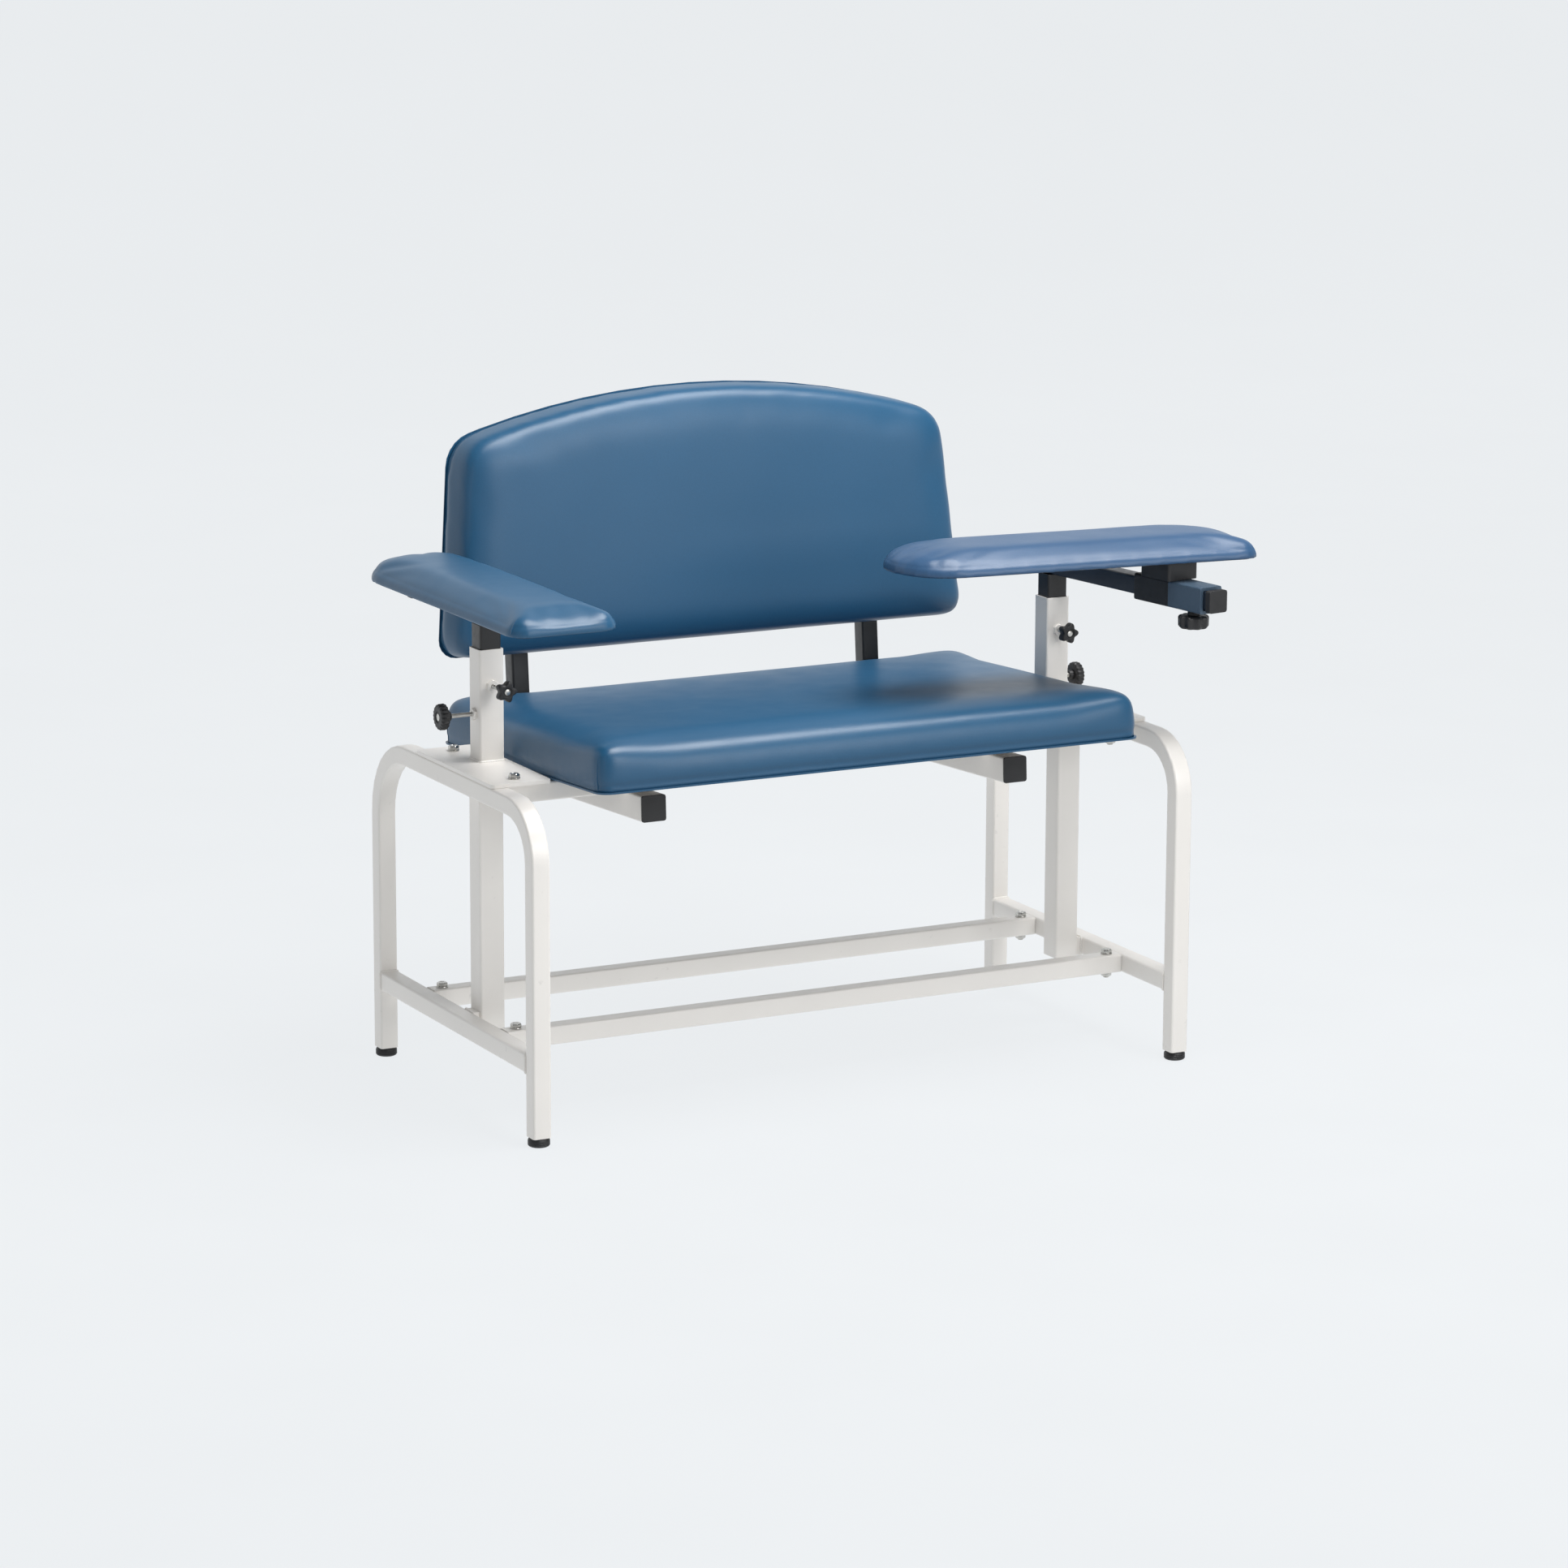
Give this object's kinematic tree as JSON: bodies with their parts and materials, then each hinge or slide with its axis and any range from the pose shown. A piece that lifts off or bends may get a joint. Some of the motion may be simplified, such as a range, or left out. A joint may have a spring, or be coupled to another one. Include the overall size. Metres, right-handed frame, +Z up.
{
  "type": "blood drawing chair",
  "caption": "Extra-wide blood-drawing chair: padded bench seat and arched back on a bent-tube frame, with arm pads that rise, slide and swivel.",
  "frame": {"origin": "on the floor, under the middle of the whole chair's box", "axes": "+X along the chair's width, the sitter's left side is at +X; +Y from the seat's front edge to the back; +Z up"},
  "size_m": [1.1208, 0.64, 0.8981],
  "materials": {
    "vinyl": "upholstery vinyl, fine grain, satin",
    "vinyl_light": "upholstery vinyl, fine grain, satin, a lighter blue",
    "white_paint": "warm white powder coat, satin",
    "slate_paint": "dark slate powder coat",
    "slider_paint": "slate powder coat, satin",
    "black_plastic": "moulded black",
    "black_paint": "black powder coat",
    "zinc": "zinc plated",
    "plywood": "raw board, dark"
  },
  "bodies": {
    "frame": {"arm_base_plate_left": "white_paint", "arm_base_plate_right": "white_paint", "arm_post_left": "white_paint", "arm_post_right": "white_paint", "back_board": "plywood", "back_cushion": "vinyl", "back_upright_left": "black_paint", "back_upright_right": "black_paint", "cross_rail_front": "white_paint", "cross_rail_rear": "white_paint", "end_frame_left": "white_paint", "end_frame_right": "white_paint", "frame_post_left": "white_paint", "frame_post_right": "white_paint", "long_stretcher_front": "white_paint", "long_stretcher_rear": "white_paint", "plate_bolt_left": "zinc", "plate_bolt_right": "zinc", "rail_bolt_front_left": "zinc", "rail_bolt_front_right": "zinc", "rail_bolt_rear_left": "zinc", "rail_bolt_rear_right": "zinc", "rail_cap_front_left": "black_plastic", "rail_cap_front_right": "black_plastic", "rail_cap_rear_left": "black_plastic", "rail_cap_rear_right": "black_plastic", "seat_board": "plywood", "seat_cushion": "vinyl", "seat_rail_left": "white_paint", "seat_rail_right": "white_paint", "side_stretcher_left": "white_paint", "side_stretcher_right": "white_paint", "stretcher_bolt_front_left": "zinc", "stretcher_bolt_front_right": "zinc", "stretcher_bolt_rear_left": "zinc", "stretcher_bolt_rear_right": "zinc"},
    "left_arm": {"arm_column_left": "black_paint", "arm_bar_left": "slate_paint", "bar_cap_left": "black_plastic"},
    "left_pad": {"swivel_block_left": "black_plastic", "pad_board_left": "plywood", "pad_cushion_left": "vinyl"},
    "right_arm": {"arm_column_right": "black_paint", "arm_bar_right": "slate_paint", "bar_cap_right": "black_plastic"},
    "right_slider": {"slider_collar": "black_plastic", "slider_sleeve": "slider_paint"},
    "right_pad": {"swivel_block_right": "black_plastic", "pad_board_right": "plywood", "pad_cushion_right": "vinyl_light"},
    "star_knob_left": {"star_knob_left": "black_plastic"},
    "lock_knob_left": {"lock_knob_left": "black_plastic"},
    "star_knob_right": {"star_knob_right": "black_plastic"},
    "lock_knob_right": {"lock_knob_right": "black_plastic"},
    "slider_knob": {"slider_knob": "black_plastic"},
    "foot_front_left": {"foot_front_left": "black_plastic"},
    "foot_front_right": {"foot_front_right": "black_plastic"},
    "foot_rear_left": {"foot_rear_left": "black_plastic"},
    "foot_rear_right": {"foot_rear_right": "black_plastic"}
  },
  "joints": [
    {"name": "arm_height_left", "type": "slide", "parent": "frame", "child": "left_arm", "axis": [0, 0, 1], "range_m": [-0.02, 0.07]},
    {"name": "arm_height_right", "type": "slide", "parent": "frame", "child": "right_arm", "axis": [0, 0, 1], "range_m": [-0.02, 0.07]},
    {"name": "pad_slide_right", "type": "slide", "parent": "right_arm", "child": "right_slider", "axis": [0.1444, -0.9895, 0], "range_m": [-0.1, 0]},
    {"name": "pad_swivel_left", "type": "hinge", "parent": "left_arm", "child": "left_pad", "pos_m": [-0.44621, 0.07192, 0.66], "axis": [0, 0, 1], "range_deg": [-25, 95]},
    {"name": "pad_swivel_right", "type": "hinge", "parent": "right_slider", "child": "right_pad", "pos_m": [0.44188, -0.21546, 0.6653], "axis": [0, 0, 1], "range_deg": [-95, 35]},
    {"name": "star_knob_left_turn", "type": "hinge", "parent": "frame", "child": "star_knob_left", "pos_m": [-0.44621, 0.01442, 0.554], "axis": [0, -1, 0], "continuous": true},
    {"name": "star_knob_right_turn", "type": "hinge", "parent": "frame", "child": "star_knob_right", "pos_m": [0.40579, 0.01442, 0.557], "axis": [0, -1, 0], "continuous": true},
    {"name": "lock_knob_left_turn", "type": "hinge", "parent": "frame", "child": "lock_knob_left", "pos_m": [-0.46371, 0.03192, 0.515], "axis": [-1, 0, 0], "continuous": true},
    {"name": "lock_knob_right_turn", "type": "hinge", "parent": "frame", "child": "lock_knob_right", "pos_m": [0.42329, 0.03192, 0.488], "axis": [1, 0, 0], "continuous": true},
    {"name": "slider_knob_turn", "type": "hinge", "parent": "right_slider", "child": "slider_knob", "pos_m": [0.44953, -0.2679, 0.629], "axis": [0, 0, -1], "continuous": true},
    {"name": "foot_front_left_turn", "type": "hinge", "parent": "frame", "child": "foot_front_left", "pos_m": [-0.49411, -0.22798, 0], "axis": [0, 0, 1], "continuous": true},
    {"name": "foot_front_right_turn", "type": "hinge", "parent": "frame", "child": "foot_front_right", "pos_m": [0.45769, -0.22798, 0], "axis": [0, 0, 1], "continuous": true},
    {"name": "foot_rear_left_turn", "type": "hinge", "parent": "frame", "child": "foot_rear_left", "pos_m": [-0.49411, 0.26782, 0], "axis": [0, 0, 1], "continuous": true},
    {"name": "foot_rear_right_turn", "type": "hinge", "parent": "frame", "child": "foot_rear_right", "pos_m": [0.45769, 0.26782, 0], "axis": [0, 0, 1], "continuous": true}
  ]
}
